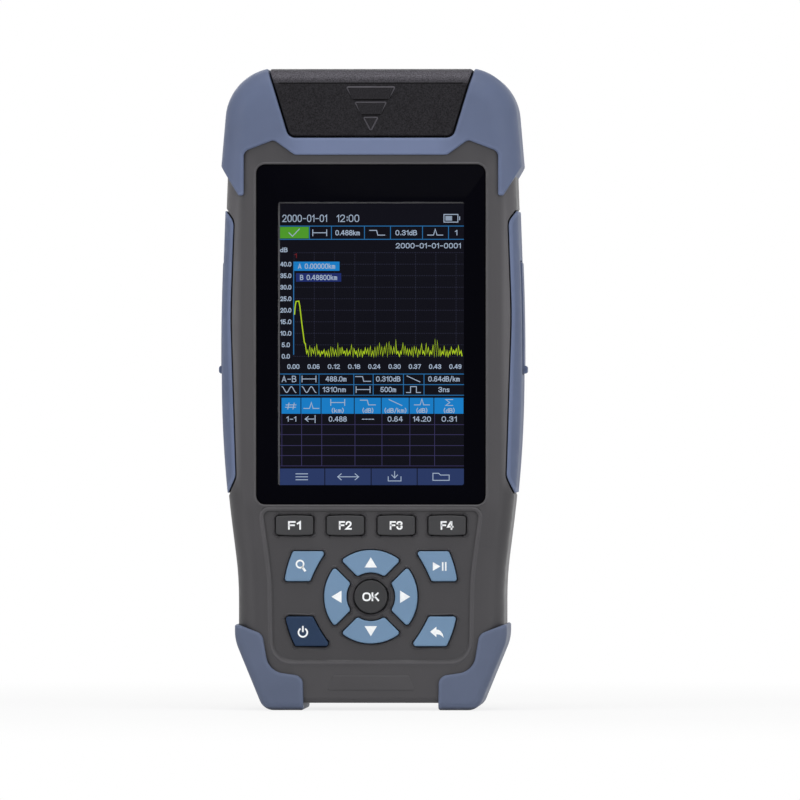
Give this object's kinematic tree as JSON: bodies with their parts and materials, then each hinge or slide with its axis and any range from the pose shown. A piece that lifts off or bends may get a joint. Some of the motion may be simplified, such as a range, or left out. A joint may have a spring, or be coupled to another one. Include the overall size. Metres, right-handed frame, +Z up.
{
  "type": "optical time domain reflectometer",
  "caption": "Handheld optical time domain reflectometer with a portrait display, keypad, soft corner bumpers, a flip cover over the fibre ports, side socket covers and a kickstand.",
  "frame": {"origin": "on the table, under the middle of the bounding box, with the tester standing on its feet", "axes": "+Z up along the height, +X to the right seen from the front, -Y towards the viewer of the display"},
  "size_m": [0.0816, 0.042, 0.169],
  "materials": {
    "shell": "fine grain",
    "bumper": "soft matt",
    "foot": "soft matt",
    "grip": "soft matt",
    "cover": "coarse grain",
    "lens": "clear with a printed black border",
    "adhesive": "matt foam",
    "frame_metal": "tinned sheet",
    "screen": "polarised glass",
    "backlight": "white diffuser",
    "board": "solder mask",
    "steel": "plain",
    "engine": "satin",
    "black_part": "matt",
    "port_metal": "nickel plate",
    "fibre": "jacket",
    "key_grey": "silicone",
    "key_blue": "silicone",
    "key_dark_blue": "silicone"
  },
  "bodies": {
    "housing": {"front_shell": "shell", "rear_shell": "shell", "battery_cover": "shell", "top_bumper_front": "bumper", "top_bumper_rear": "bumper", "left_foot_front": "foot", "left_foot_rear": "foot", "right_foot_front": "foot", "right_foot_rear": "foot", "left_grip_front": "grip", "left_grip_rear": "grip", "right_grip_front": "grip", "right_grip_rear": "grip", "display_lens": "lens", "lens_adhesive": "adhesive", "lcd_cushion": "adhesive", "lcd_frame": "frame_metal", "network_socket": "frame_metal", "charging_socket": "frame_metal", "card_socket": "frame_metal", "lcd_panel": "screen", "lcd_backlight": "backlight", "keypad_board": "board", "main_board": "board", "top_cover_pin": "steel", "kickstand_pin": "steel", "housing_screws": "steel", "board_screws": "steel", "battery_cover_screws": "steel", "dome_switches": "steel", "optical_engine": "engine", "port_panel": "black_part", "buzzer": "black_part", "battery_pack": "black_part", "otdr_port": "port_metal", "power_meter_port": "port_metal", "fault_locator_port": "port_metal", "fibre_pigtails": "fibre"},
    "key_f1": {"key_f1": "key_grey"},
    "key_f2": {"key_f2": "key_grey"},
    "key_f3": {"key_f3": "key_grey"},
    "key_f4": {"key_f4": "key_grey"},
    "key_zoom": {"key_zoom": "key_blue"},
    "key_run": {"key_run": "key_blue"},
    "key_power": {"key_power": "key_dark_blue"},
    "key_back": {"key_back": "key_blue"},
    "key_up": {"key_up": "key_blue"},
    "key_left": {"key_left": "key_blue"},
    "key_down": {"key_down": "key_blue"},
    "key_right": {"key_right": "key_blue"},
    "key_ok": {"key_ok": "key_grey"},
    "top_cover": {"top_cover": "cover"},
    "kickstand": {"kickstand": "shell"},
    "left_port_cover": {"left_port_cover": "grip"},
    "right_port_cover": {"right_port_cover": "grip"}
  },
  "joints": [
    {"name": "key_f1_press", "type": "slide", "parent": "housing", "child": "key_f1", "axis": [0, 1, 0], "range_m": [0, 0.0006], "stiffness_N_per_m": 300},
    {"name": "key_f2_press", "type": "slide", "parent": "housing", "child": "key_f2", "axis": [0, 1, 0], "range_m": [0, 0.0006], "stiffness_N_per_m": 300},
    {"name": "key_f3_press", "type": "slide", "parent": "housing", "child": "key_f3", "axis": [0, 1, 0], "range_m": [0, 0.0006], "stiffness_N_per_m": 300},
    {"name": "key_f4_press", "type": "slide", "parent": "housing", "child": "key_f4", "axis": [0, 1, 0], "range_m": [0, 0.0006], "stiffness_N_per_m": 300},
    {"name": "key_zoom_press", "type": "slide", "parent": "housing", "child": "key_zoom", "axis": [0, 1, 0], "range_m": [0, 0.0006], "stiffness_N_per_m": 300},
    {"name": "key_run_press", "type": "slide", "parent": "housing", "child": "key_run", "axis": [0, 1, 0], "range_m": [0, 0.0006], "stiffness_N_per_m": 300},
    {"name": "key_power_press", "type": "slide", "parent": "housing", "child": "key_power", "axis": [0, 1, 0], "range_m": [0, 0.0006], "stiffness_N_per_m": 300},
    {"name": "key_back_press", "type": "slide", "parent": "housing", "child": "key_back", "axis": [0, 1, 0], "range_m": [0, 0.0006], "stiffness_N_per_m": 300},
    {"name": "key_up_press", "type": "slide", "parent": "housing", "child": "key_up", "axis": [0, 1, 0], "range_m": [0, 0.0006], "stiffness_N_per_m": 300},
    {"name": "key_left_press", "type": "slide", "parent": "housing", "child": "key_left", "axis": [0, 1, 0], "range_m": [0, 0.0006], "stiffness_N_per_m": 300},
    {"name": "key_down_press", "type": "slide", "parent": "housing", "child": "key_down", "axis": [0, 1, 0], "range_m": [0, 0.0006], "stiffness_N_per_m": 300},
    {"name": "key_right_press", "type": "slide", "parent": "housing", "child": "key_right", "axis": [0, 1, 0], "range_m": [0, 0.0006], "stiffness_N_per_m": 300},
    {"name": "key_ok_press", "type": "slide", "parent": "housing", "child": "key_ok", "axis": [0, 1, 0], "range_m": [0, 0.0006], "stiffness_N_per_m": 300},
    {"name": "top_cover_hinge", "type": "hinge", "parent": "housing", "child": "top_cover", "pos_m": [0, 0.0142, 0.166], "axis": [-1, 0, 0], "range_deg": [0, 110]},
    {"name": "kickstand_hinge", "type": "hinge", "parent": "housing", "child": "kickstand", "pos_m": [0, 0.0182, 0.1245], "axis": [1, 0, 0], "range_deg": [0, 55]},
    {"name": "left_port_cover_hinge", "type": "hinge", "parent": "housing", "child": "left_port_cover", "pos_m": [-0.03881, 0, 0.1176], "axis": [0, 1, 0], "range_deg": [0, 95]},
    {"name": "right_port_cover_hinge", "type": "hinge", "parent": "housing", "child": "right_port_cover", "pos_m": [0.03881, 0, 0.1176], "axis": [0, -1, 0], "range_deg": [0, 95]}
  ]
}
